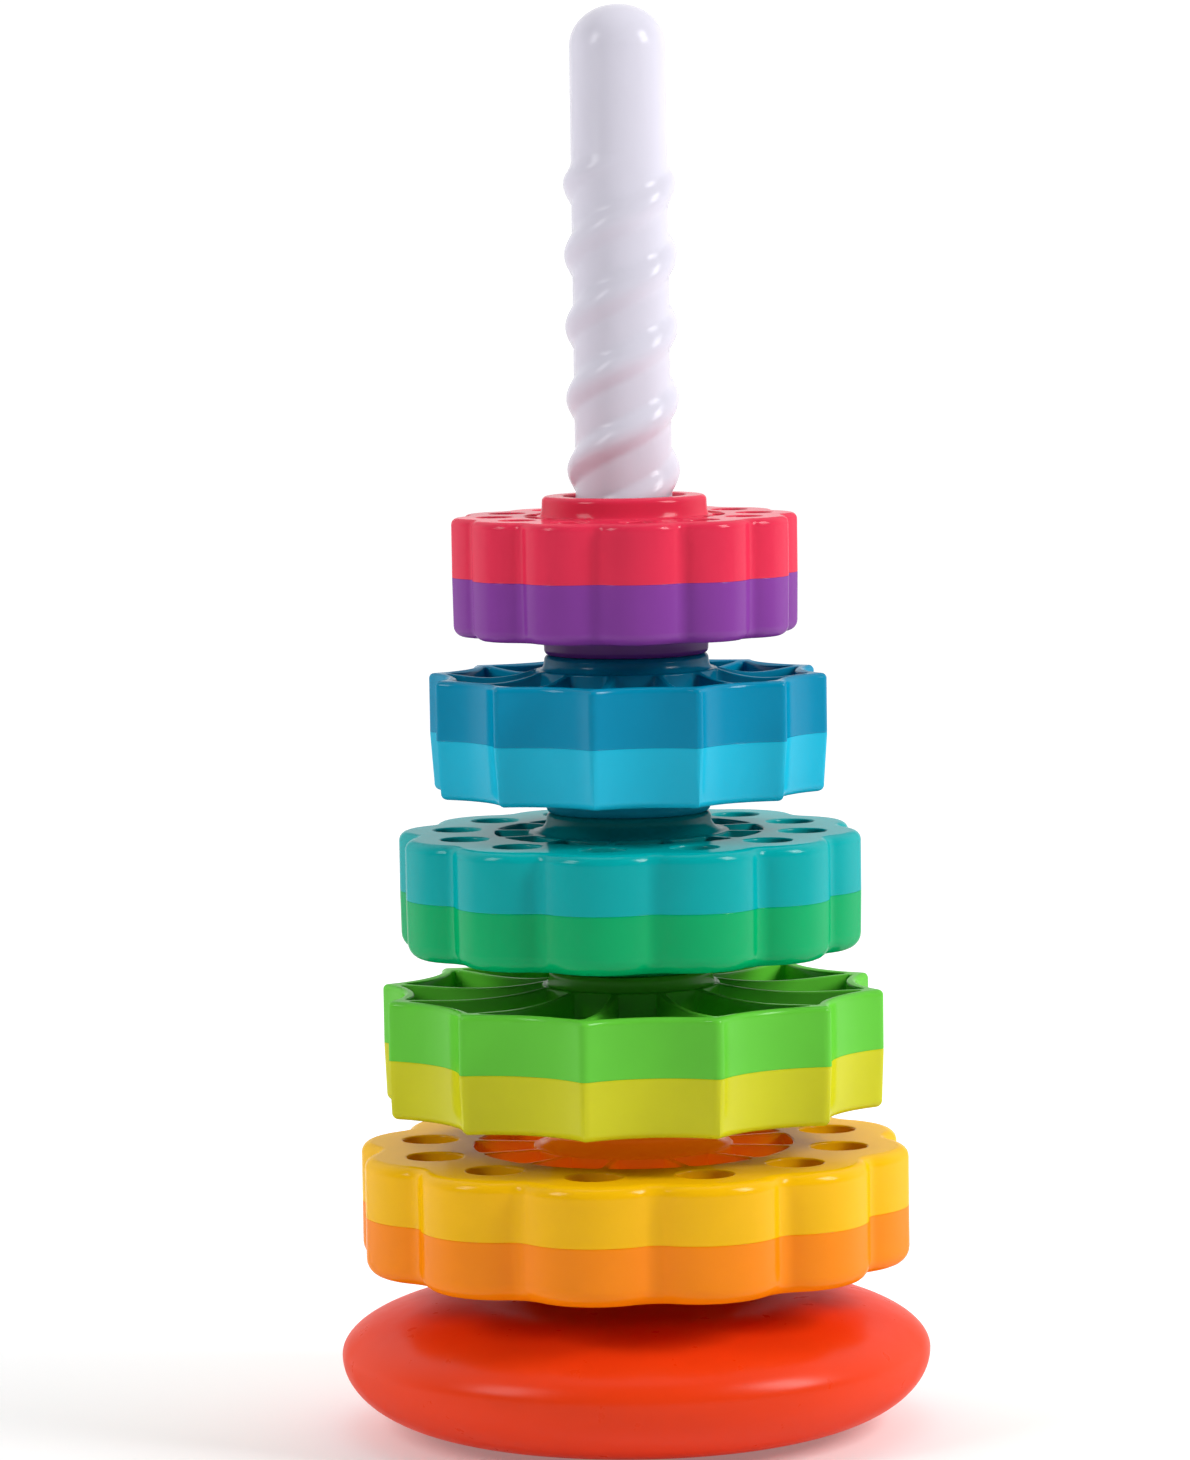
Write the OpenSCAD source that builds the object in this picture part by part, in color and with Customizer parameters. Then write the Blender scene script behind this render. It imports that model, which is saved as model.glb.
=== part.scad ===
/* [Base] */
// Widest radius of the rounded base
base_r = 75; // [72:0.5:80]
// Height of the collar in the middle of the base, which carries the first ring
base_h = 37; // [36.5:0.5:38]
// Height of the base's rounded top around the collar
base_crest_h = 33; // [32.5:0.1:33.4]
// Radius at which the rounded top is level
base_crest_r = 39; // [37:0.5:41]
// Radius of the collar
base_seat_r = 25; // [24:0.5:26]
// Height at which the base is widest
base_waist_h = 19; // [18:0.5:20]
// Radius at which the base meets its underside
base_foot_r = 45; // [44:0.5:50]
// Wall of the base shell
base_wall = 2.6; // [2:0.1:3.5]

/* [Pole] */
// Radius of the pole between its ridges
pole_r = 12.2; // [11.8:0.1:12.4]
// Outer radius of the helical ridges
ridge_r = 14.2; // [13.8:0.1:14.3]
// Height of the pole's top over the floor
pole_top_z = 360; // [355:1:365]
// Height of the pole's domed end
dome_h = 10.5; // [8:0.5:12]
// Wall of the hollow pole
pole_wall = 2.2; // [1.8:0.1:3]
// Rise of a ridge in one turn
lead = 36; // [34:1:40]
// Height along the pole of one ridge at its foot
ridge_w = 9.6; // [8:0.2:10]
// Height at which the ridges have died away
ridge_end_z = 323; // [318:1:326]
// Angle of the first ridge's crest, carried down to the floor
ridge_turn = 86; // [0:1:179]

/* [Ring hubs] */
// Height from one ring to the next
pitch = 40; // [39:0.5:42]
// Height of a ring's body without its collar and neck
body_h = 30; // [28:0.5:31]
// Outer radius of the collar and the neck
collar_r = 20.8; // [20:0.1:21.5]
// Widest radius of the flare at the collar's foot on a petal ring
flare_r = 25.5; // [24:0.5:26]
// Radius of the flare at the collar's foot on a star ring
star_flare_r = 22.8; // [22.6:0.1:24]
// Radius of the bore through the collar and the neck
lip_bore_r = 15.2; // [15:0.1:15.4]
// Thickness of the lip at each end of the hub
lip_t = 2.2; // [2:0.1:2.6]
// Inner radius of the hub sleeve
sleeve_bore_r = 14.7; // [14.6:0.1:14.8]
// Outer radius of the hub sleeve
sleeve_r = 16.8; // [16.6:0.1:17]
// Clearance between the hub sleeve and the shells
sleeve_gap = 0.05; // [0.05:0.05:0.15]
// Radius to which a drive lug reaches in
lug_r = 12.9; // [12.8:0.1:13.2]
// Width of a drive lug
lug_w = 5; // [4:0.5:5.5]

/* [Ring bodies] */
// Tip radius of ring 1, at the bottom
ring_1_r = 70.5; // [68:0.5:72]
// Tip radius of ring 2
ring_2_r = 64; // [62:0.5:66]
// Tip radius of ring 3
ring_3_r = 59; // [57:0.5:61]
// Tip radius of ring 4
ring_4_r = 50.5; // [49:0.5:53]
// Tip radius of ring 5, at the top
ring_5_r = 43.8; // [42.8:0.1:46]
// Wall of the ring shells
wall = 2.2; // [1.8:0.1:2.4]
// Thickness of the radial ribs
rib_t = 1.8; // [1.4:0.1:2.2]
// Radius of a petal as a share of the ring's radius
petal_share = 0.3; // [0.25:0.005:0.31]
// Radius of the valleys between petals as a share
valley_share = 0.915; // [0.9:0.005:0.93]
// Radius of the hole in a petal as a share
hole_share = 0.1; // [0.08:0.005:0.105]
// Distance of that hole from the axis as a share
hole_at_share = 0.75; // [0.74:0.005:0.76]
// Inner radius of a petal ring's top as a share
deck_share = 0.575; // [0.57:0.005:0.59]
// Radius of a star's hollow panels as a share
panel_share = 0.905; // [0.89:0.005:0.92]

/* [How the rings are turned at rest] */
// Angle of a petal of ring 1 from the front
ring_1_turn = 19; // [0:1:29]
// Angle of a point of ring 2 from the front
ring_2_turn = 19; // [0:1:29]
// Angle of a petal of ring 3 from the front
ring_3_turn = 21; // [0:1:29]
// Angle of a point of ring 4 from the front
ring_4_turn = 20; // [0:1:29]
// Angle of a petal of ring 5 from the front
ring_5_turn = 5; // [0:1:29]

/* [Base fittings] */
// Radius of the circle of cover screws
screw_circle_r = 33; // [32:0.5:33]
// Radius of a cover screw's shank
screw_r = 1.5; // [1.3:0.1:1.8]
// Radius of a cover screw's head
screw_head_r = 3; // [2.6:0.1:3.2]
// Radius of the pole screw's shank
pole_screw_r = 2; // [1.8:0.1:2.3]
// Radius of the pole screw's head
pole_screw_head_r = 4; // [3.6:0.1:4.4]
// Outer radius of the foot ring
foot_ring_r = 42.5; // [42:0.5:43]
// Width of the foot ring
foot_ring_w = 5.5; // [4:0.5:5.5]
// Height by which the foot ring lifts the base
foot_gap = 0.8; // [0.5:0.1:1.2]

/* [Hidden] */
$fn = 96;

RINGS = 5;
POINTS = 12;        // petals or points on each ring
STARTS = 2;         // ridges on the pole
step_a = 360 / POINTS;
ring_r = [ring_1_r, ring_2_r, ring_3_r, ring_4_r, ring_5_r];
ring_turn = [ring_1_turn, ring_2_turn, ring_3_turn, ring_4_turn, ring_5_turn];
upper_colors = ["gold", "limegreen", "lightseagreen", "deepskyblue", "crimson"];
lower_colors = ["darkorange", "yellowgreen", "mediumseagreen", "skyblue", "rebeccapurple"];

half_h = body_h / 2;
hub_h = pitch / 2;
web_t = 2;          // floor of the pockets
edge_r = 1.2;       // rounded edges of collar and neck

socket_r = pole_r + 0.05;
socket_z = 8;       // underside of the socket's floor
socket_floor_t = 3;
pole_foot_z = socket_z + socket_floor_t;
boss_r = 4.6;       // screw boss inside the pole's foot
boss_h = 16;
ridge_layer = 2.4;  // height of one layer of the helix
ridge_start_z = base_h + 2;
ridge_layers = floor((ridge_end_z - ridge_start_z) / ridge_layer);
ridge_top_z = ridge_start_z + ridge_layers * ridge_layer;
cover_z = foot_gap + 0.4;
cover_t = 2.4;
cover_top_z = cover_z + cover_t;
cover_r = base_foot_r - 1;
screw_head_t = 1.6;
screw_len = 11;
screw_boss_r = 3.6;
screw_boss_top_z = base_crest_h - base_wall + 0.4;
seat_wall_z = base_h - base_wall / 2;   // middle of the wall under the collar's top
web_len = 19;       // webs that brace the pole's socket
web_top_z = base_crest_h - base_wall / 2;
web_w = 1.8;
web_z = 14;

// Points of an elliptical arc from angle a0 to a1 around c
function arc(c, rx, ry, a0, a1, n = 12) =
    [for (i = [0:n]) let (a = a0 + (a1 - a0) * i / n) [c[0] + rx * cos(a), c[1] + ry * sin(a)]];

// Middle plane of ring i, counted from 0 at the bottom
function ring_z(i) = base_h + hub_h + pitch * i;

// Direction of the groove between two ridges at height z
function groove_a(z) = ridge_turn + 90 + 360 * z / lead;

// Odd rings have petals, even rings have points
function is_flower(i) = i % 2 == 0;
function deck_r(i) = deck_share * ring_r[i];
function foot_flare_r(i) = is_flower(i) ? min(flare_r, deck_r(i) - 1.4 * wall) : star_flare_r;

// ---- base ----

// Outer side of the base, from its foot over the waist and the top to the collar, drawn in by d
function base_side(d) = concat(
    arc([base_foot_r, base_waist_h], base_r - base_foot_r - d, base_waist_h - foot_gap - d, -90, 0),
    arc([base_crest_r, base_waist_h], base_r - base_crest_r - d, base_crest_h - base_waist_h - d, 6, 90),
    arc([base_crest_r, base_h - edge_r - d], base_crest_r - base_seat_r + d,
        base_crest_h - base_h + edge_r, 100, 180, 8)
);

module base_shell() {
    color("orangered")
    difference() {
        union() {
            difference() {
                rotate_extrude()
                    polygon(concat([[0, foot_gap]], base_side(0),
                        arc([base_seat_r - edge_r, base_h - edge_r], edge_r, edge_r, 15, 90, 5),
                        [[0, base_h]]));
                rotate_extrude()
                    polygon(concat([[0, -1], [cover_r, -1], [cover_r, cover_top_z]],
                        base_side(base_wall),
                        [[base_seat_r - base_wall, base_h - base_wall], [0, base_h - base_wall]]));
            }
            // socket for the pole
            translate([0, 0, socket_z])
                cylinder(r = socket_r + base_wall, h = seat_wall_z - socket_z);
            // screw bosses
            for (a = [45:90:315])
                rotate(a) translate([screw_circle_r, 0, cover_top_z])
                    cylinder(r = screw_boss_r, h = screw_boss_top_z - cover_top_z);
            // webs that brace the socket against the rounded top
            for (a = [0:45:315])
                rotate(a) translate([socket_r + 1, -web_w / 2, web_z])
                    cube([web_len, web_w, web_top_z - web_z]);
        }
        translate([0, 0, pole_foot_z]) cylinder(r = socket_r, h = base_h);
        cylinder(r = pole_screw_r + 0.3, h = base_h);
        for (a = [45:90:315])
            rotate(a) translate([screw_circle_r, 0, cover_top_z - 1])
                cylinder(r = screw_r, h = screw_len + 2);
    }
}

module base_cover() {
    color("orangered")
    difference() {
        translate([0, 0, cover_z]) cylinder(r = cover_r - 0.15, h = cover_t);
        cylinder(r = pole_screw_head_r + 1.5, h = base_h);
        for (a = [45:90:315])
            rotate(a) translate([screw_circle_r, 0, 0]) {
                cylinder(r = screw_r + 0.2, h = base_h);
                cylinder(r = screw_head_r + 0.2, h = cover_z + screw_head_t);
            }
        // groove that holds the foot ring
        translate([0, 0, -1]) difference() {
            cylinder(r = foot_ring_r, h = cover_z + 2);
            translate([0, 0, -1]) cylinder(r = foot_ring_r - foot_ring_w, h = cover_z + 4);
        }
    }
}

module foot_ring() {
    color("dimgray")
    difference() {
        cylinder(r = foot_ring_r, h = cover_z + 1);
        translate([0, 0, -1]) cylinder(r = foot_ring_r - foot_ring_w, h = cover_z + 3);
    }
}

// A pan-head screw with a cross recess, head down, its head's upper face at z = 0
module screw(r, length, head_r, head_t) {
    cylinder(r = r, h = length);
    translate([0, 0, -head_t])
        difference() {
            cylinder(r = head_r, h = head_t);
            for (a = [0, 90])
                rotate(a) translate([-head_r * 0.6, -head_r * 0.12, -1])
                    cube([head_r * 1.2, head_r * 0.24, 1 + head_t * 0.5]);
        }
}

module cover_screws() {
    color("silver")
    for (a = [45:90:315])
        rotate(a) translate([screw_circle_r, 0, cover_z + screw_head_t])
            screw(screw_r, screw_len, screw_head_r, screw_head_t);
}

module pole_screw() {
    color("silver")
    translate([0, 0, socket_z]) screw(pole_screw_r, 16, pole_screw_head_r, 3);
}

// ---- pole ----

// The ridged length of the pole: one cross-section turned along the helix, faded out at both ends,
// where it is end_step thinner than the plain lengths it meets
module ridged_length() {
    end_step = 0.1;
    half_a = ridge_w / 2 / lead * 360;  // half of a ridge's share of the turn
    gap_a = 360 / STARTS - 2 * half_a;
    bump = [for (b = [-1:1/3:1.01]) [b * half_a, pow(max(cos(90 * b), 0), 1.2)]];
    groove = [for (t = [0.25:0.25:0.75]) [half_a + t * gap_a, 0]];
    section = [for (s = [0:STARTS - 1]) for (p = concat(bump, groove)) [p[0] + s * 360 / STARTS, p[1]]];
    n = len(section);
    function fade(k) = min(1, k / 2, (ridge_layers - k) / 3);
    function core_r(k) = pole_r - (k == 0 || k == ridge_layers ? end_step : 0);
    points = [for (k = [0:ridge_layers])
        let (z = ridge_start_z + k * ridge_layer, turn = ridge_turn + 360 * z / lead)
        for (p = section) let (r = core_r(k) + (ridge_r - pole_r) * p[1] * fade(k))
            [r * cos(turn + p[0]), r * sin(turn + p[0]), z]];
    sides = [for (k = [0:ridge_layers - 1]) for (j = [0:n - 1]) let (q = (j + 1) % n, lo = k * n, hi = lo + n)
        each [[lo + j, hi + j, hi + q], [lo + j, hi + q, lo + q]]];
    top = [for (j = [n - 1:-1:0]) ridge_layers * n + j];
    polyhedron(points, concat([[for (j = [0:n - 1]) j]], sides, [top]));
}

module pole() {
    color("white")
    difference() {
        union() {
            translate([0, 0, pole_foot_z]) cylinder(r = pole_r, h = ridge_start_z - pole_foot_z);
            ridged_length();
            rotate_extrude()
                polygon(concat([[0, ridge_top_z], [pole_r, ridge_top_z]],
                    arc([0, pole_top_z - dome_h], pole_r, dome_h, 0, 90)));
        }
        // hollow inside, with a screw boss left standing at the foot
        difference() {
            rotate_extrude()
                polygon(concat([[0, pole_foot_z + pole_wall], [pole_r - pole_wall, pole_foot_z + pole_wall]],
                    arc([0, pole_top_z - dome_h], pole_r - pole_wall, dome_h - pole_wall, 0, 90)));
            translate([0, 0, pole_foot_z]) cylinder(r = boss_r, h = boss_h);
        }
        translate([0, 0, pole_foot_z - 1]) cylinder(r = pole_screw_r, h = boss_h);
    }
}

// ---- ring outlines ----

// Twelve petals of radius petal_share * r, drawn in by d
module flower_outline(r, d = 0) {
    petal_r = petal_share * r;
    circle(r = valley_share * r - d);
    for (k = [0:POINTS - 1])
        rotate(k * step_a) translate([r - petal_r, 0]) circle(r = petal_r - d, $fn = 48);
}

// Twelve points with hollow panels between them, drawn in by d
module star_outline(r, d = 0) {
    sharp_r = r * 1.012;
    panel_r = panel_share * r;
    scoop_c = (pow(sharp_r, 2) - pow(panel_r, 2)) / (2 * (sharp_r * cos(step_a / 2) - panel_r));
    difference() {
        circle(r = r - d);
        for (k = [0:POINTS - 1])
            rotate((k + 0.5) * step_a) translate([scoop_c, 0]) circle(r = scoop_c - panel_r + d);
    }
}

// ---- ring shells, drawn as an upper half that stands on the parting plane ----

// The hub's lip, flared skirt and inner tube
module hub(i) {
    foot_r = foot_flare_r(i);
    tube_r = sleeve_r + sleeve_gap;
    cove_h = hub_h - half_h - 1;
    skirt = concat(
        [[tube_r, 0], [foot_r, 0], [foot_r, half_h - 0.4]],
        arc([foot_r, half_h - 0.4 + cove_h], foot_r - collar_r, cove_h, 270, 180, 8),
        arc([collar_r - edge_r, hub_h - edge_r], edge_r, edge_r, 0, 90, 4),
        arc([lip_bore_r + 0.8, hub_h - 0.8], 0.8, 0.8, 90, 180, 4),
        [[lip_bore_r, hub_h - lip_t], [tube_r, hub_h - lip_t]]
    );
    difference() {
        rotate_extrude() polygon(skirt);
        // hollow between the inner tube and the skirt, open at the parting plane
        if (foot_r > tube_r + 3 * wall / 2 + 2)
            translate([0, 0, -1]) rotate_extrude()
                polygon([[tube_r + 1.6, 0], [foot_r - wall, 0], [foot_r - wall, half_h - 1],
                    [tube_r + 1.6, half_h + 1]]);
    }
}

// Upright plate along +X whose top edge swoops from the hub down to the rim
module rib(r0, r1, z0, z1, dip) {
    n = 10;
    top = [for (k = [0:n]) let (t = k / n)
        [r0 + (r1 - r0) * t, z1 + (z0 - z1) * pow(1 - t, 2.4) - dip * sin(180 * t)]];
    rotate([90, 0, 0]) translate([0, 0, -rib_t / 2]) linear_extrude(rib_t)
        polygon(concat([[r1, 0], [r0, 0]], top));
}

// Petal ring: a flat deck with a hole in each petal, pockets only next to the hub
module flower_half(i) {
    r = ring_r[i];
    hole_r = hole_share * r;
    hole_at = hole_at_share * r;
    inner_r = deck_r(i);
    difference() {
        union() {
            difference() {
                linear_extrude(half_h) flower_outline(r);
                translate([0, 0, -1]) linear_extrude(half_h + 1 - wall) difference() {
                    flower_outline(r, wall);
                    circle(r = inner_r + wall);
                }
                translate([0, 0, web_t]) cylinder(r = inner_r, h = half_h);
                translate([0, 0, -1]) cylinder(r = sleeve_r + 1, h = half_h);
            }
            // tubes that line the holes
            for (k = [0:POINTS - 1])
                rotate(k * step_a) translate([hole_at, 0, 0])
                    cylinder(r = hole_r + 1.4, h = half_h - wall / 2, $fn = 48);
            for (k = [0:POINTS - 1])
                rotate(k * step_a) rib(foot_flare_r(i) - 1, inner_r + 1, half_h + 1.6, half_h - 0.6, 0.5);
        }
        for (k = [0:POINTS - 1])
            rotate(k * step_a) translate([hole_at, 0, -1])
                cylinder(r = hole_r, h = half_h + 2, $fn = 48);
    }
}

// Star ring: a narrow rim and twelve deep pockets between ribs that run to the points
module star_half(i) {
    r = ring_r[i];
    difference() {
        linear_extrude(half_h) star_outline(r);
        translate([0, 0, web_t]) linear_extrude(half_h) star_outline(r, 1.2 * wall);
        translate([0, 0, -1]) cylinder(r = sleeve_r + 1, h = half_h);
    }
    for (k = [0:POINTS - 1])
        rotate(k * step_a) rib(collar_r - 0.6, r - 1.2 * wall, half_h + 2.6, half_h - 0.5, 2.2);
}

module ring_half(i) {
    if (is_flower(i)) flower_half(i);
    else star_half(i);
    hub(i);
}

// Two lugs that reach from the neck into the grooves between the ridges
module lugs(i) {
    lug_h = lip_t - 0.3;
    z = ring_z(i) - hub_h + lip_t / 2;
    for (s = [0:STARTS - 1])
        rotate(groove_a(z) + s * 360 / STARTS)
            intersection() {
                translate([0, -lug_w / 2, z - lug_h / 2]) cube([lip_bore_r + 1, lug_w, lug_h]);
                translate([0, 0, z - lug_h / 2]) difference() {
                    cylinder(r = lip_bore_r + 0.6, h = lug_h);
                    translate([0, 0, -1]) cylinder(r = lug_r, h = lug_h + 2);
                }
            }
}

module upper_shell(i) {
    color(upper_colors[i])
    translate([0, 0, ring_z(i)]) rotate(ring_turn[i] - 90) ring_half(i);
}

module lower_shell(i) {
    color(lower_colors[i]) {
        translate([0, 0, ring_z(i)]) rotate(ring_turn[i] - 90) mirror([0, 0, 1]) ring_half(i);
        lugs(i);
    }
}

module hub_sleeve(i) {
    sleeve_h = 2 * (hub_h - lip_t - 0.1);
    color("whitesmoke")
    translate([0, 0, ring_z(i) - sleeve_h / 2])
        difference() {
            cylinder(r = sleeve_r, h = sleeve_h);
            translate([0, 0, -1]) cylinder(r = sleeve_bore_r, h = sleeve_h + 2);
        }
}

base_shell();
base_cover();
cover_screws();
foot_ring();
pole();
pole_screw();
for (i = [0:RINGS - 1]) {
    upper_shell(i);
    lower_shell(i);
    hub_sleeve(i);
}
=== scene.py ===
"""A stacking ring toy: five spinning rings on a white spiral pole with a rounded orange-red base."""

import math

import bpy
import numpy as np
from mathutils import Euler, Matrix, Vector
from mathutils.geometry import delaunay_2d_cdt


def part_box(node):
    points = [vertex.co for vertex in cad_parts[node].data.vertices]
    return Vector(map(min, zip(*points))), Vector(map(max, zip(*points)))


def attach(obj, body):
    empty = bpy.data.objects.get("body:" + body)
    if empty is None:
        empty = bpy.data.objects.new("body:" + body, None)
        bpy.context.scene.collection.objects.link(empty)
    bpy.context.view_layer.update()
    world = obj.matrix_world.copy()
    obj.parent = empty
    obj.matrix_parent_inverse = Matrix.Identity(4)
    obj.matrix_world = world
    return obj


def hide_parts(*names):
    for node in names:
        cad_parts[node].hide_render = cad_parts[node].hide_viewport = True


MM = 0.001
RINGS = 5
POINTS = 12                  # petals or points on each ring
STEP = 2 * math.pi / POINTS

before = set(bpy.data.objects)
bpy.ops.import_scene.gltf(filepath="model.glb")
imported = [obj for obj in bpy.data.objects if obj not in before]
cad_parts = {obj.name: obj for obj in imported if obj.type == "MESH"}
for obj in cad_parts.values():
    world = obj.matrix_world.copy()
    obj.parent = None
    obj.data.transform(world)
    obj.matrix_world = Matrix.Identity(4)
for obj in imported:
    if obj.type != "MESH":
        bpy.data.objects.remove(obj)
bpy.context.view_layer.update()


# ---- sizes, in millimetres; those that the frame holds are read from it ----

def box_mm(node):
    low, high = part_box(node)
    return [v / MM for v in low], [v / MM for v in high]


base_low, base_high = box_mm("base_shell")
BASE_R = base_high[0]
SEAT_Z = base_high[2]                       # the base's collar, on which ring 1 rests
FOOT_Z = base_low[2]
CREST_Z = SEAT_Z - 4                        # the rounded top around the collar
BASE_WAIST_Z = 19
BASE_FOOT_R = 45
CREST_R = 39
SEAT_R = 25
SEAT_EDGE = 1.2
BASE_WALL = 2.6
SOCKET_Z = 11                               # floor of the pole's socket
BOSS_Z = 8                                  # underside of the socket
SOCKET_GAP = 0.05                           # between the pole and its socket

PITCH = box_mm("ring_2_upper_shell")[0][2] - box_mm("ring_1_upper_shell")[0][2]
HUB_H = PITCH / 2                           # from a ring's middle plane to its collar's top
HALF_H = 15                                 # from a ring's middle plane to its face
COLLAR_R = 20.8
LIP_BORE_R = 15.2
SLEEVE_R = 16.8
LIP_T = 2.2
COLLAR_EDGE = 1.3
BORE_EDGE = 0.8
SLEEVE_GAP = 0.05                           # between a hub sleeve and its shells
LUG_R = 12.9                                # to which a drive lug reaches in
FLOOR_Z = 2.4                               # pocket floors above the middle plane

POLE_R = 12.2
RIDGE_R = 14.2
POLE_TOP_Z = box_mm("pole")[1][2]
POLE_FOOT_Z = box_mm("pole")[0][2]
DOME_H = 10.5
LEAD = 36
RIDGE_TURN = math.radians(86)
RIDGE_W = 9.6
RIDGE_START_Z = SEAT_Z + 2
RIDGE_END_Z = 323
RIDGE_RISE = 5                              # length over which the ridges rise at the foot
RIDGE_FALL = 7                              # length over which they die away at the top

RING_R = {1: 70.5, 2: 64, 3: 59, 4: 50.5, 5: 43.8}
RING_TURN = {1: 19, 2: 19, 3: 21, 4: 20, 5: 5}             # degrees from the front, seen from above
OUTER_EDGE = {1: (2.8, 4.4), 2: (1.3, 1.9), 3: (2.4, 4.2), 4: (1.3, 1.8), 5: (1.7, 2.8)}    # upper, lower
DRAFT = {1: (0, 0), 2: (0, 0.5), 3: (0, 0.2), 4: (0, 0.9), 5: (0, 0.2)}                     # upper, lower
FLARE_R = {1: 25.5, 2: 22.6, 3: 25.5, 4: 23.0, 5: 22.4}    # foot of the collar at the ring's face
RIM_T = {1: 2.8, 2: 2.8, 3: 2.8, 4: 2.7, 5: 2.8}
RIB_T = 1.8
RIB_RISE = {1: 0, 2: 1.2, 3: 0, 4: 1.2, 5: 0}              # how far the ribs climb the collar
RIB_DIP = {1: 0, 2: 0.8, 3: 0, 4: 1.2, 5: 0}               # how far they sag between collar and rim
RISE_POWER = 7                              # the higher, the closer to the collar the ribs climb
DIP_POWER = 1.5
POCKET_K = {1: 1.6, 2: 2.2, 3: 1.6, 4: 2.0, 5: 1.0}        # roundness of a pocket's corners
POCKET_EDGE = 0.45
POCKET_LEAN = 0.25                          # how far a pocket's wall leans in towards its floor
FLOOR_K = 1.2                               # fillet around a pocket's floor
HOLE_EDGE = 0.6
CREASE = 0.12                               # a flat band that keeps a rounded edge's shading to itself
SEAM = 0.01                                 # half the joint line between the two shells
SEAM_R = 0.08
SEAM_INSET = 0.02

# shares of a ring's radius
PETAL_R = 0.3
VALLEY_K = 0.04
FLOWER_CORE_R = 0.915
FLOWER_DECK = 0.575                         # where a flower's pockets end
HOLE_R = 0.1
HOLE_AT = 0.75
PANEL_R = 0.905
POINT_R = 1.022                             # where a star's point would be if it were sharp
POINT_K = 0.028
FAR = 1.2                                   # beyond every outline

COLORS = {
    "base": "ec3c0d",
    "pole": "d5d2df",
    1: ("f4b906", "f98a08"),
    2: ("62c539", "c9c81d"),
    3: ("00a4a5", "00a764"),
    4: ("0086ab", "1ab1d0"),
    5: ("dd304e", "803b95"),
}
# painted glow: emission around ring 1's hub that stands in for light scattered and bounced in its shaded
# yellow plastic
PAINTED_HUB_GLOW = {1: "ff5a04"}
PAINTED_GLOW_START_R = 34                             # the painted glow fades out between these radii
PAINTED_GLOW_END_R = 41
PAINTED_GLOW_STRENGTH = 0.2
FADE_START = 0.32                           # how far edge-on the gloss starts to fade, from 0 to 1
FADE_END = 0.78
FLOW_MM = 22                                # size of the colour's slow variation
SCUFF_MM = 6                                # size of the patches of uneven gloss


def is_flower(k):
    return k % 2 == 1


# ---- meshes ----

def mesh_object(name, shape, body, replaced, material):
    """One piece from points in millimetres, smooth shaded except at sharp edges."""
    mesh = bpy.data.meshes.new(name)
    verts = [tuple(c * MM for c in v) for v in shape.verts]
    mesh.from_pydata(verts, [], [tuple(int(i) for i in f) for f in shape.faces])
    mesh.validate()
    mesh.update()
    mesh.polygons.foreach_set("use_smooth", [True] * len(mesh.polygons))
    mesh.set_sharp_from_angle(angle=math.radians(40))
    mesh.materials.append(material)
    obj = bpy.data.objects.new(name, mesh)
    bpy.context.scene.collection.objects.link(obj)
    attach(obj, body)
    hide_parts(replaced)


class Shape:
    """Collects closed loops of points and the strips of faces between them."""

    def __init__(self):
        self.verts = []
        self.faces = []

    def loop(self, points):
        first = len(self.verts)
        self.verts.extend([tuple(p) for p in points])
        return list(range(first, len(self.verts)))

    def strip(self, a, b, flip=False):
        n = len(a)
        for i in range(n):
            j = (i + 1) % n
            face = (a[i], a[j], b[j], b[i])
            self.faces.append(face[::-1] if flip else face)

    def skin(self, loops, flip=False):
        for a, b in zip(loops, loops[1:]):
            self.strip(a, b, flip)

    def fill(self, outer, holes, extra=(), up=True):
        """Triangles inside the outer loop and outside the hole loops, which all run counterclockwise."""
        points, edges, index, owner = [], [], [], []
        for number, loop in enumerate([outer] + list(holes)):
            first, n = len(points), len(loop)
            for i, v in enumerate(loop):
                points.append(Vector(self.verts[v][:2]))
                edges.append((first + i, first + (i + 1) % n))
                index.append(v)
                owner.append((number, i))
        for v in extra:
            points.append(Vector(self.verts[v][:2]))
            index.append(v)
            owner.append((None, v))
        _, _, triangles, origin, _, _ = delaunay_2d_cdt(points, edges, [], 0, 1e-7)
        for triangle in triangles:
            corners = [origin[i][0] for i in triangle]
            loops = {owner[i][0] for i in corners}
            if len(loops) == 1 and None not in loops:
                a, b, c = (owner[i][1] for i in corners)
                inside = a < b < c or b < c < a or c < a < b
                if inside != (loops == {0}):
                    continue
            face = tuple(index[i] for i in corners)
            self.faces.append(face if up else face[::-1])

    def cap(self, loop, up=True):
        """Closes a loop with a fan around its middle."""
        middle = np.mean([self.verts[i] for i in loop], axis=0)
        centre = self.loop([middle])[0]
        n = len(loop)
        for i in range(n):
            face = (loop[i], loop[(i + 1) % n], centre)
            self.faces.append(face if up else face[::-1])


def quarter(n):
    """Angles over a quarter turn, in radians, for a rounded edge."""
    return [math.pi / 2 * i / n for i in range(n + 1)]


def circle_points(r, z, segments):
    angles = [2 * math.pi * i / segments for i in range(segments)]
    return [(r * math.cos(a), r * math.sin(a), z) for a in angles]


def revolve(profile, segments):
    """A closed surface of revolution about Z: profile is a closed list of (radius, height)."""
    shape = Shape()
    loops = [shape.loop(circle_points(r, z, segments)) for r, z in profile]
    shape.skin(loops + loops[:1])
    return shape


def arc(cx, cz, rx, rz, a0, a1, n):
    """Points of an elliptical arc from angle a0 to a1, in degrees."""
    return [(cx + rx * math.cos(math.radians(a0 + (a1 - a0) * i / n)),
             cz + rz * math.sin(math.radians(a0 + (a1 - a0) * i / n))) for i in range(n + 1)]


# ---- outlines as signed fields: negative inside, rounded by radius k where two parts meet ----

def smooth_max(a, b, k):
    """Meets in a rounded outside corner of radius k."""
    u, v = np.maximum(a + k, 0), np.maximum(b + k, 0)
    return np.minimum(-k, np.maximum(a, b)) + np.hypot(u, v)


def smooth_min(a, b, k):
    return -smooth_max(-a, -b, k)


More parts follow.
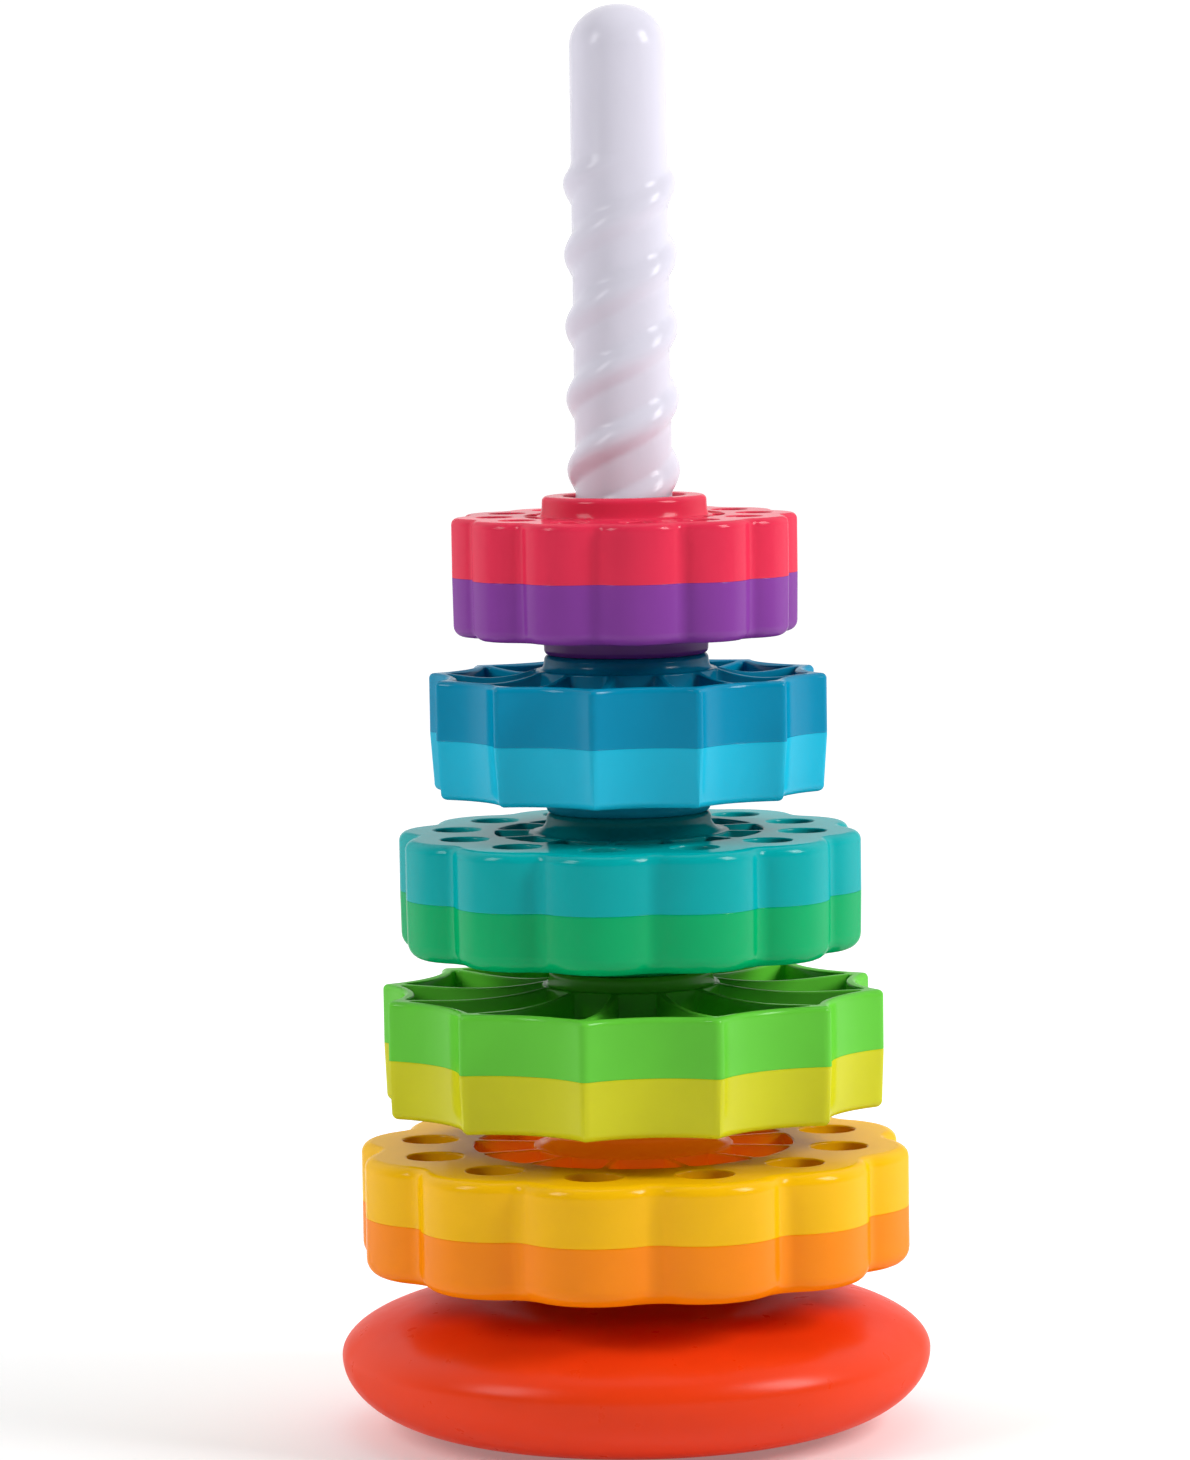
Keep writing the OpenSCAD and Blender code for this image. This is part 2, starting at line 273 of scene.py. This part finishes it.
def trace(field, centre, angles, far, level=0.0):
    """Where rays from centre at these angles reach the field's level, as an array of points."""
    near = np.zeros(len(angles))
    reach = np.full(len(angles), far)
    direction = np.stack([np.cos(angles), np.sin(angles)], 1)
    for _ in range(26):
        middle = (near + reach) / 2
        p = centre + direction * middle[:, None]
        inside = field(p) < level
        near = np.where(inside, middle, near)
        reach = np.where(inside, reach, middle)
    return centre + direction * near[:, None]


def even_angles(field, centre, count, far):
    """Ray angles that put the traced points at even distances along the outline."""
    fine = np.linspace(0, 2 * math.pi, 1441)
    p = trace(field, centre, fine, far)
    run = np.concatenate([[0], np.cumsum(np.linalg.norm(np.diff(p, axis=0), axis=1))])
    return np.interp(np.linspace(0, run[-1], count + 1)[:-1], run, fine)


def fold(p):
    """Turns points into the sector of one petal or point, around +X."""
    a = np.arctan2(p[:, 1], p[:, 0])
    a = (a + STEP / 2) % STEP - STEP / 2
    r = np.hypot(p[:, 0], p[:, 1])
    return np.stack([r * np.cos(a), np.abs(r * np.sin(a))], 1)


def flower_field(radius):
    """Twelve petals around a core, with rounded valleys between them."""
    petal = PETAL_R * radius
    valley_k = VALLEY_K * radius

    def field(p):
        q = fold(p)
        own = np.hypot(q[:, 0] - (radius - petal), q[:, 1]) - petal
        c, s = math.cos(STEP), math.sin(STEP)
        neighbour = np.hypot(q[:, 0] - (radius - petal) * c, q[:, 1] - (radius - petal) * s) - petal
        core = np.hypot(q[:, 0], q[:, 1]) - FLOWER_CORE_R * radius
        return np.minimum(smooth_min(own, neighbour, valley_k), core)
    return field


def star_field(radius):
    """Twelve rounded points with hollow panels between them."""
    panel = PANEL_R * radius
    sharp = POINT_R * radius
    half = STEP / 2
    centre = (sharp ** 2 - panel ** 2) / (2 * (sharp * math.cos(half) - panel))
    scoop = centre - panel
    point_k = POINT_K * radius

    def field(p):
        q = fold(p)
        c, s = math.cos(half), math.sin(half)
        right = scoop - np.hypot(q[:, 0] - centre * c, q[:, 1] - centre * s)
        left = scoop - np.hypot(q[:, 0] - centre * c, q[:, 1] + centre * s)
        beyond = np.hypot(q[:, 0], q[:, 1]) - sharp
        return np.maximum(smooth_max(right, left, point_k), beyond)
    return field


# ---- ring shells ----

def rim_field(k, outline, draft):
    """Outer limit of the pockets: inside the rim of a star, inside the deck of a flower."""
    radius = RING_R[k]
    if is_flower(k):
        return lambda p: np.hypot(p[:, 0], p[:, 1]) - FLOWER_DECK * radius
    return lambda p: outline(p) + RIM_T[k] + draft


def pocket_field(k, outline, draft):
    """A pocket between the ribs at 0 and STEP, drawn around the angle STEP / 2."""
    rim = rim_field(k, outline, draft)
    half_rib = RIB_T / 2

    def field(p):
        low_side = half_rib - p[:, 1]
        c, s = math.cos(STEP), math.sin(STEP)
        high_side = half_rib - (p[:, 0] * s - p[:, 1] * c)
        ribs = smooth_max(low_side, high_side, 0.3)
        return smooth_max(ribs, rim(p), POCKET_K[k])
    return field


def at_height(p, z):
    return np.column_stack([p, np.full(len(p), z)])


def on_face(k, p, drop=0.0):
    """Points on a ring's face, whose ribs climb towards the collar, or this far below it."""
    flare = FLARE_R[k]
    swoop_end = RING_R[k] - RIM_T[k]
    t = np.clip((np.hypot(p[:, 0], p[:, 1]) - flare) / (swoop_end - flare), 0, 1)
    swoop = RIB_RISE[k] * (1 - t) ** RISE_POWER - RIB_DIP[k] * np.sin(math.pi * t) ** DIP_POWER
    return np.column_stack([p, HALF_H + swoop - drop])


def outer_wall(shape, k, outline, edge, draft):
    """The side of a ring from the face's rounded edge to the middle plane; returns its end loops."""
    middle = np.zeros(2)
    far = RING_R[k] * FAR
    steps = 44 if is_flower(k) else 36      # along one petal or point
    angles = even_angles(outline, middle, POINTS * steps, far)
    rows = [(edge + draft + CREASE, HALF_H)]
    rows += [(edge * (1 - math.sin(a)) + draft, HALF_H - edge * (1 - math.cos(a))) for a in quarter(6)]
    rows += [(draft, HALF_H - edge - 3 * CREASE), (SEAM_INSET, SEAM + SEAM_R + 3 * CREASE)]
    rows += [(SEAM_INSET, SEAM + SEAM_R), (SEAM_INSET + 0.3 * SEAM_R, SEAM + 0.3 * SEAM_R), (SEAM_R, SEAM)]
    wall = [shape.loop(at_height(trace(outline, middle, angles, far, -inset), z)) for inset, z in rows]
    shape.skin(wall, flip=True)
    return wall[0], wall[-1]


def rib_pockets(shape, k, outline, draft):
    """The pockets between the ribs; returns their loops on the face."""
    radius = RING_R[k]
    flare = FLARE_R[k]
    sector = pocket_field(k, outline, draft)

    def pocket(p):
        return smooth_max(sector(p), flare - np.hypot(p[:, 0], p[:, 1]), POCKET_K[k] / 2)

    reach = (flare + (FLOWER_DECK if is_flower(k) else 1) * radius) / 2
    centre = np.array([math.cos(STEP / 2), math.sin(STEP / 2)]) * reach
    angles = even_angles(pocket, centre, 80, radius)
    rows = [(POCKET_EDGE + CREASE, 0, None)]
    rows += [(POCKET_EDGE * (1 - math.sin(a)), POCKET_EDGE * (1 - math.cos(a)), None) for a in quarter(3)]
    rows += [(-POCKET_LEAN - FLOOR_K * (1 - math.cos(a)), 0, FLOOR_Z + FLOOR_K * (1 - math.sin(a)))
             for a in quarter(3)]
    flat = [(trace(pocket, centre, angles, radius, level), drop, z) for level, drop, z in rows]
    mouths = []
    for n in range(POINTS):
        c, s = math.cos(n * STEP), math.sin(n * STEP)
        turn = np.array([[c, s], [-s, c]])
        loops = [shape.loop(on_face(k, p @ turn, drop) if z is None else at_height(p @ turn, z))
                 for p, drop, z in flat]
        shape.skin(loops)
        shape.cap(loops[-1])
        mouths.append(loops[0])
    return mouths


def petal_holes(shape, k):
    """The holes through the petals; returns their loops on the face and on the middle plane."""
    hole_r = HOLE_R * RING_R[k]
    rows = [(hole_r + HOLE_EDGE + CREASE, HALF_H)]
    rows += [(hole_r + HOLE_EDGE * (1 - math.sin(a)), HALF_H - HOLE_EDGE * (1 - math.cos(a)))
             for a in quarter(3)]
    rows.append((hole_r, SEAM))
    mouths, feet = [], []
    for n in range(POINTS):
        shift = np.array([math.cos(n * STEP), math.sin(n * STEP), 0]) * HOLE_AT * RING_R[k]
        loops = [shape.loop(np.array(circle_points(r, z, 40)) + shift) for r, z in rows]
        shape.skin(loops)
        mouths.append(loops[0])
        feet.append(loops[-1])
    return mouths, feet


def collar(shape, k):
    """The flared collar, its lip and the bore around the sleeve; returns its end loops."""
    skirt_r = FLARE_R[k] - 2 * POCKET_EDGE
    foot_z = HALF_H + RIB_RISE[k]
    top_z = HUB_H - COLLAR_EDGE
    bore_r = SLEEVE_R + SLEEVE_GAP
    profile = arc(skirt_r, top_z, skirt_r - COLLAR_R, top_z - foot_z, 270, 180, 12)
    profile += arc(COLLAR_R - COLLAR_EDGE, top_z, COLLAR_EDGE, COLLAR_EDGE, 0, 90, 6)[1:]
    profile += arc(LIP_BORE_R + BORE_EDGE, HUB_H - BORE_EDGE, BORE_EDGE, BORE_EDGE, 90, 180, 5)
    profile += [(LIP_BORE_R, HUB_H - LIP_T), (bore_r, HUB_H - LIP_T), (bore_r, SEAM)]
    loops = [shape.loop(circle_points(r, z, 160)) for r, z in profile]
    shape.skin(loops)
    return loops[0], loops[-1]


def rib_crests(shape, k):
    """Points along the ribs of a star, which keep their curve when the face is filled."""
    gap = 1.5
    first = FLARE_R[k] - 2 * POCKET_EDGE + gap
    last = RING_R[k] - RIM_T[k] - 2
    crests = []
    for n in range(POINTS):
        for r in np.arange(first, last, gap):
            crests += shape.loop(on_face(k, np.array([[r * math.cos(n * STEP), r * math.sin(n * STEP)]])))
    return crests


def ring_half(k, upper):
    """Half a ring as one closed surface in millimetres, standing on the ring's middle plane."""
    outline = flower_field(RING_R[k]) if is_flower(k) else star_field(RING_R[k])
    side = 0 if upper else 1
    draft = DRAFT[k][side]
    shape = Shape()
    face_rim, base_rim = outer_wall(shape, k, outline, OUTER_EDGE[k][side], draft)
    mouths = rib_pockets(shape, k, outline, draft)
    feet = []
    if is_flower(k):
        hole_mouths, feet = petal_holes(shape, k)
        mouths += hole_mouths
    collar_foot, bore_foot = collar(shape, k)
    crests = [] if is_flower(k) else rib_crests(shape, k)
    shape.fill(face_rim, mouths + [collar_foot], crests)
    shape.fill(base_rim, feet + [bore_foot], up=False)
    return shape


# ---- materials ----

def linear(hex_color):
    channels = [int(hex_color[i:i + 2], 16) / 255 for i in (0, 2, 4)]
    return [c / 12.92 if c <= 0.04045 else ((c + 0.055) / 1.055) ** 2.4 for c in channels] + [1.0]


def smooth_span(nodes, from_min, from_max, to_min, to_max):
    """A node that turns smoothly from one value to another over a range."""
    span = nodes.new("ShaderNodeMapRange")
    span.interpolation_type = "SMOOTHSTEP"
    span.inputs["From Min"].default_value = from_min
    span.inputs["From Max"].default_value = from_max
    span.inputs["To Min"].default_value = to_min
    span.inputs["To Max"].default_value = to_max
    return span


def plastic(name, hex_color, roughness, grain, bump, vary, specular=0.2, fade=0.0):
    """Moulded plastic: a faint flow variation in the colour, uneven gloss and a fine surface grain.
    grain and bump are its width and depth in mm, and fade is the share of gloss lost edge-on."""
    material = bpy.data.materials.new(name)
    material.use_nodes = True
    nodes, links = material.node_tree.nodes, material.node_tree.links
    nodes.clear()
    out = nodes.new("ShaderNodeOutputMaterial")
    shader = nodes.new("ShaderNodeBsdfPrincipled")
    coord = nodes.new("ShaderNodeTexCoord")
    links.new(shader.outputs[0], out.inputs[0])

    def noise(scale_mm, detail, rough):
        node = nodes.new("ShaderNodeTexNoise")
        node.inputs["Scale"].default_value = 1 / (scale_mm * MM)
        node.inputs["Detail"].default_value = detail
        node.inputs["Roughness"].default_value = rough
        links.new(coord.outputs["Object"], node.inputs["Vector"])
        return node

    def ramp(node, low, high):
        span = nodes.new("ShaderNodeMapRange")
        span.inputs["From Min"].default_value = 0.3
        span.inputs["From Max"].default_value = 0.7
        span.inputs["To Min"].default_value = low
        span.inputs["To Max"].default_value = high
        links.new(node.outputs["Fac"], span.inputs["Value"])
        return span.outputs[0]

    flow = noise(FLOW_MM, 3, 0.5)
    hsv = nodes.new("ShaderNodeHueSaturation")
    hsv.inputs["Color"].default_value = linear(hex_color)
    links.new(ramp(flow, 1 - vary, 1 + vary), hsv.inputs["Value"])
    links.new(hsv.outputs[0], shader.inputs["Base Color"])
    scuff = noise(SCUFF_MM, 4, 0.6)
    links.new(ramp(scuff, roughness * 0.9, roughness * 1.12), shader.inputs["Roughness"])
    fine = noise(grain, 2, 0.5)
    bumper = nodes.new("ShaderNodeBump")
    bumper.inputs["Strength"].default_value = 1.0
    bumper.inputs["Distance"].default_value = bump * MM
    links.new(fine.outputs["Fac"], bumper.inputs["Height"])
    links.new(bumper.outputs[0], shader.inputs["Normal"])
    shader.inputs["Specular IOR Level"].default_value = specular
    if fade:
        grazing = nodes.new("ShaderNodeLayerWeight")
        span = smooth_span(nodes, FADE_START, FADE_END, specular, specular * (1 - fade))
        links.new(grazing.outputs["Facing"], span.inputs["Value"])
        links.new(span.outputs[0], shader.inputs["Specular IOR Level"])
    return material


def paint_hub_glow(material, hex_color):
    """Paints a faint glow as emission around a ring's hub, in place of the light scattered through its
    thin, shaded plastic.
    """
    nodes, links = material.node_tree.nodes, material.node_tree.links
    shader = nodes["Principled BSDF"]
    shader.inputs["Emission Color"].default_value = linear(hex_color)
    coord = nodes.new("ShaderNodeTexCoord")
    flat = nodes.new("ShaderNodeVectorMath")
    flat.operation = "MULTIPLY"
    flat.inputs[1].default_value = (1, 1, 0)
    reach = nodes.new("ShaderNodeVectorMath")
    reach.operation = "LENGTH"
    span = smooth_span(nodes, PAINTED_GLOW_START_R * MM, PAINTED_GLOW_END_R * MM, PAINTED_GLOW_STRENGTH, 0)
    links.new(coord.outputs["Object"], flat.inputs[0])
    links.new(flat.outputs[0], reach.inputs[0])
    links.new(reach.outputs["Value"], span.inputs["Value"])
    links.new(span.outputs[0], shader.inputs["Emission Strength"])


def metal(name, hex_color, roughness):
    """Plated steel, with the same uneven gloss."""
    material = plastic(name, hex_color, roughness, grain=0.15, bump=0.01, vary=0.05)
    material.node_tree.nodes["Principled BSDF"].inputs["Metallic"].default_value = 1.0
    return material


base_mat = plastic("base_plastic", COLORS["base"], roughness=0.3, grain=0.8, bump=0.004, vary=0.02,
                   fade=0.93)
pole_mat = plastic("pole_plastic", COLORS["pole"], roughness=0.2, grain=1.5, bump=0.006, vary=0.01)
foot_mat = plastic("foot_rubber", "4a4a4c", roughness=0.75, grain=0.3, bump=0.03, vary=0.08)
sleeve_mat = plastic("sleeve_plastic", "e6e4e0", roughness=0.45, grain=0.4, bump=0.01, vary=0.02)
screw_mat = metal("screw_zinc", "b8bcc0", 0.32)


def finish_node(node, material):
    """Gives a node that keeps its CAD shape its material."""
    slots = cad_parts[node].data.materials
    slots.clear()
    slots.append(material)


finish_node("base_cover", base_mat)
finish_node("foot_ring", foot_mat)
finish_node("cover_screws", screw_mat)
finish_node("pole_screw", screw_mat)
for number in range(1, RINGS + 1):
    finish_node(f"ring_{number}_hub_sleeve", sleeve_mat)


# ---- base ----

def base_side(d):
    """The shell's outline at depth d: from its foot over the rounded top, then up to the collar."""
    foot = arc(BASE_FOOT_R, BASE_WAIST_Z, BASE_R - BASE_FOOT_R - d, BASE_WAIST_Z - FOOT_Z - d, -90, 0, 28)
    shoulder = arc(CREST_R, BASE_WAIST_Z, BASE_R - CREST_R - d, CREST_Z - BASE_WAIST_Z - d, 3, 90, 30)
    edge_z = SEAT_Z - SEAT_EDGE
    swoop = arc(CREST_R, edge_z - d, CREST_R - SEAT_R + d, CREST_Z - edge_z, 96, 180, 16)
    return foot + shoulder + swoop


def make_base():
    """The rounded shell with its collar and the pole's socket, as one closed surface of revolution."""
    cover_r = BASE_FOOT_R - 1
    socket_r = POLE_R + SOCKET_GAP
    boss_r = socket_r + BASE_WALL
    screw_r = 2.3
    cover_seat = 2.8
    bevel = 0.3
    edge_z = SEAT_Z - SEAT_EDGE
    under_z = SEAT_Z - BASE_WALL
    profile = [(cover_r, FOOT_Z + cover_seat), (cover_r, FOOT_Z + bevel), (cover_r + bevel, FOOT_Z)]
    profile += base_side(0) + arc(SEAT_R - SEAT_EDGE, edge_z, SEAT_EDGE, SEAT_EDGE, 15, 90, 6)
    profile += [(socket_r + 0.6, SEAT_Z), (socket_r + 0.15, SEAT_Z - 0.15), (socket_r, SEAT_Z - 0.6)]
    profile += [(socket_r, SOCKET_Z), (screw_r, SOCKET_Z), (screw_r, BOSS_Z), (boss_r, BOSS_Z)]
    profile += [(boss_r, under_z), (SEAT_R - BASE_WALL, under_z)]
    profile += base_side(BASE_WALL)[::-1]
    mesh_object("base_body", revolve(profile, 288), "base_and_pole", "base_shell", base_mat)


# ---- pole ----

def ridge_heights(z, angles):
    """How far the pole's surface stands out at height z, for every angle around."""
    half_a = RIDGE_W / 2 / LEAD * 2 * math.pi
    turn = RIDGE_TURN + 2 * math.pi * z / LEAD
    b = (angles - turn + math.pi / 2) % math.pi - math.pi / 2
    t = np.clip(np.abs(b) / half_a, 0, 1)
    crest = np.cos(math.pi / 2 * t) ** 1.2
    fade = np.clip(min((z - RIDGE_START_Z) / RIDGE_RISE, (RIDGE_END_Z - z) / RIDGE_FALL), 0, 1)
    return (RIDGE_R - POLE_R) * crest * fade * fade * (3 - 2 * fade)


def make_pole():
    """The pole with its two rounded ridges, as one closed surface."""
    around = 144
    layer = 0.9
    angles = np.arange(around) * 2 * math.pi / around
    cosines, sines = np.cos(angles), np.sin(angles)
    shape = Shape()
    loops = []
    for z in [POLE_FOOT_Z] + list(np.arange(RIDGE_START_Z - 0.5, RIDGE_END_Z + 0.6, layer)):
        r = POLE_R + ridge_heights(z, angles)
        loops.append(shape.loop(np.column_stack([r * cosines, r * sines, np.full(around, z)])))
    for r, z in arc(0, POLE_TOP_Z - DOME_H, POLE_R, DOME_H, 0, 86, 22):
        loops.append(shape.loop(np.column_stack([r * cosines, r * sines, np.full(around, z)])))
    shape.skin(loops)
    shape.cap(loops[-1])
    shape.verts[-1] = (0, 0, POLE_TOP_Z)
    shape.cap(loops[0], up=False)
    mesh_object("pole_body", shape, "base_and_pole", "pole", pole_mat)


# ---- rings ----

def add_lugs(shape, z):
    """Two lugs on the lower lip that run in the grooves between the pole's ridges."""
    root_r, chamfer, half_w = 15.8, 0.5, 2.5
    tip_w = half_w - chamfer
    outline = [(root_r, -half_w), (root_r, half_w), (LUG_R + chamfer, half_w), (LUG_R, tip_w),
               (LUG_R, -tip_w), (LUG_R + chamfer, -half_w)]
    half_h = LIP_T / 2 - 0.15
    groove = RIDGE_TURN + math.pi / 2 + 2 * math.pi * z / LEAD
    for turn in (groove, groove + math.pi):
        c, s = math.cos(turn), math.sin(turn)
        low, high = ([(x * c - y * s, x * s + y * c, z + h) for x, y in outline]
                     for h in (-half_h, half_h))
        low, high = shape.loop(low), shape.loop(high)
        shape.strip(low, high)
        shape.cap(low, up=False)
        shape.cap(high)


def make_ring(k):
    """Both shells of a ring, each one closed surface."""
    middle = box_mm(f"ring_{k}_upper_shell")[0][2]
    turn = math.radians(RING_TURN[k] - 90)
    c, s = math.cos(turn), math.sin(turn)
    for half, side, color in zip(("upper", "lower"), (1, -1), COLORS[k]):
        shape = ring_half(k, side > 0)
        shape.verts = [(x * c - y * s, x * s + y * c, middle + side * z) for x, y, z in shape.verts]
        if side < 0:
            shape.faces = [f[::-1] for f in shape.faces]
            add_lugs(shape, middle - HUB_H + LIP_T / 2)
        material = plastic(f"ring_{k}_{half}_plastic", color, roughness=0.15, grain=0.8, bump=0.006,
                           vary=0.03, specular=0.17, fade=0.97)
        # painted glow, as emission, around ring 1's hub
        if k in PAINTED_HUB_GLOW and side > 0:
            paint_hub_glow(material, PAINTED_HUB_GLOW[k])
        mesh_object(f"ring_{k}_{half}_body", shape, f"ring_{k}_shells", f"ring_{k}_{half}_shell",
                    material)


make_base()
make_pole()
for ring in range(1, RINGS + 1):
    make_ring(ring)


# ---- floor, light and camera ----

GLOW_FRONT = 0.06                           # the floor's own light, in front of and behind the object
GLOW_BACK = 0.58
WORLD_FRONT = 0.14                          # the room's light, in front of and behind the object
WORLD_BACK = 1.1
LIGHT_AIM = Vector((0, 0, 0.15))


def make_floor():
    """A pale floor that reaches far beyond the view and brightens behind the object."""
    reach = 120
    verts = [(-reach, -reach, 0), (reach, -reach, 0), (reach, reach, 0), (-reach, reach, 0)]
    mesh = bpy.data.meshes.new("floor")
    mesh.from_pydata(verts, [], [(0, 1, 2, 3)])
    floor = bpy.data.objects.new("floor", mesh)
    bpy.context.scene.collection.objects.link(floor)
    material = bpy.data.materials.new("floor")
    material.use_nodes = True
    nodes, links = material.node_tree.nodes, material.node_tree.links
    shader = nodes["Principled BSDF"]
    shader.inputs["Base Color"].default_value = (0.8, 0.8, 0.81, 1)
    shader.inputs["Roughness"].default_value = 0.9
    shader.inputs["Specular IOR Level"].default_value = 0.1
    shader.inputs["Emission Color"].default_value = (1, 1, 1, 1)
    coord = nodes.new("ShaderNodeTexCoord")
    split = nodes.new("ShaderNodeSeparateXYZ")
    span = smooth_span(nodes, -0.25, 0.45, GLOW_FRONT, GLOW_BACK)
    links.new(coord.outputs["Object"], split.inputs[0])
    links.new(split.outputs["Y"], span.inputs["Value"])
    links.new(span.outputs[0], shader.inputs["Emission Strength"])
    mesh.materials.append(material)


def softbox(name, azimuth, elevation, distance, size, power):
    """A rectangular light that faces the object: azimuth from the front, positive to the right."""
    data = bpy.data.lights.new(name, "AREA")
    data.shape = "RECTANGLE"
    data.size, data.size_y = size
    data.energy = power
    light = bpy.data.objects.new(name, data)
    a, e = math.radians(azimuth), math.radians(elevation)
    out = Vector((math.sin(a) * math.cos(e), -math.cos(a) * math.cos(e), math.sin(e)))
    light.location = LIGHT_AIM + out * distance
    light.rotation_euler = (-out).to_track_quat("-Z", "Y").to_euler()
    bpy.context.scene.collection.objects.link(light)


def make_world():
    """A pale room, bright behind the object and dim in front of it, fixed in the room."""
    world = bpy.data.worlds.new("studio")
    bpy.context.scene.world = world
    world.use_nodes = True
    nodes, links = world.node_tree.nodes, world.node_tree.links
    coord = nodes.new("ShaderNodeTexCoord")
    split = nodes.new("ShaderNodeSeparateXYZ")
    span = smooth_span(nodes, -0.4, 0.6, WORLD_FRONT, WORLD_BACK)
    links.new(coord.outputs["Generated"], split.inputs[0])
    links.new(split.outputs["Y"], span.inputs["Value"])
    links.new(span.outputs[0], nodes["Background"].inputs["Strength"])
    nodes["Background"].inputs["Color"].default_value = (1, 1, 1, 1)


make_floor()
make_world()
softbox("right_box", 68, 31, 1.1, (0.34, 0.55), 8.8)
softbox("left_box", -59, 31, 1.1, (0.34, 0.55), 4.4)
softbox("top_box", 0, 88, 1.3, (0.8, 0.8), 1.5)

CAMERA_OFF = 1.500                          # how far the camera stands in front of the pole's axis
CAMERA_H = 0.3146
LOOK_AT = Vector((-0.0082, 0, 0.1776))
ROLL = math.radians(0.86)
LENS_MM = 146.7863
SENSOR_MM = 36


def make_camera():
    """The camera at the photograph's height and distance, upright but for a slight roll."""
    data = bpy.data.cameras.new("camera")
    data.sensor_width = SENSOR_MM
    data.lens = LENS_MM
    data.clip_end = 300
    camera = bpy.data.objects.new("camera", data)
    camera.location = (LOOK_AT.x, -CAMERA_OFF, CAMERA_H)
    look = (LOOK_AT - camera.location).to_track_quat("-Z", "Y").to_matrix()
    camera.rotation_euler = (look @ Euler((0, 0, -ROLL)).to_matrix()).to_euler()
    bpy.context.scene.collection.objects.link(camera)
    bpy.context.scene.camera = camera


make_camera()
bpy.context.scene.view_settings.view_transform = "Standard"
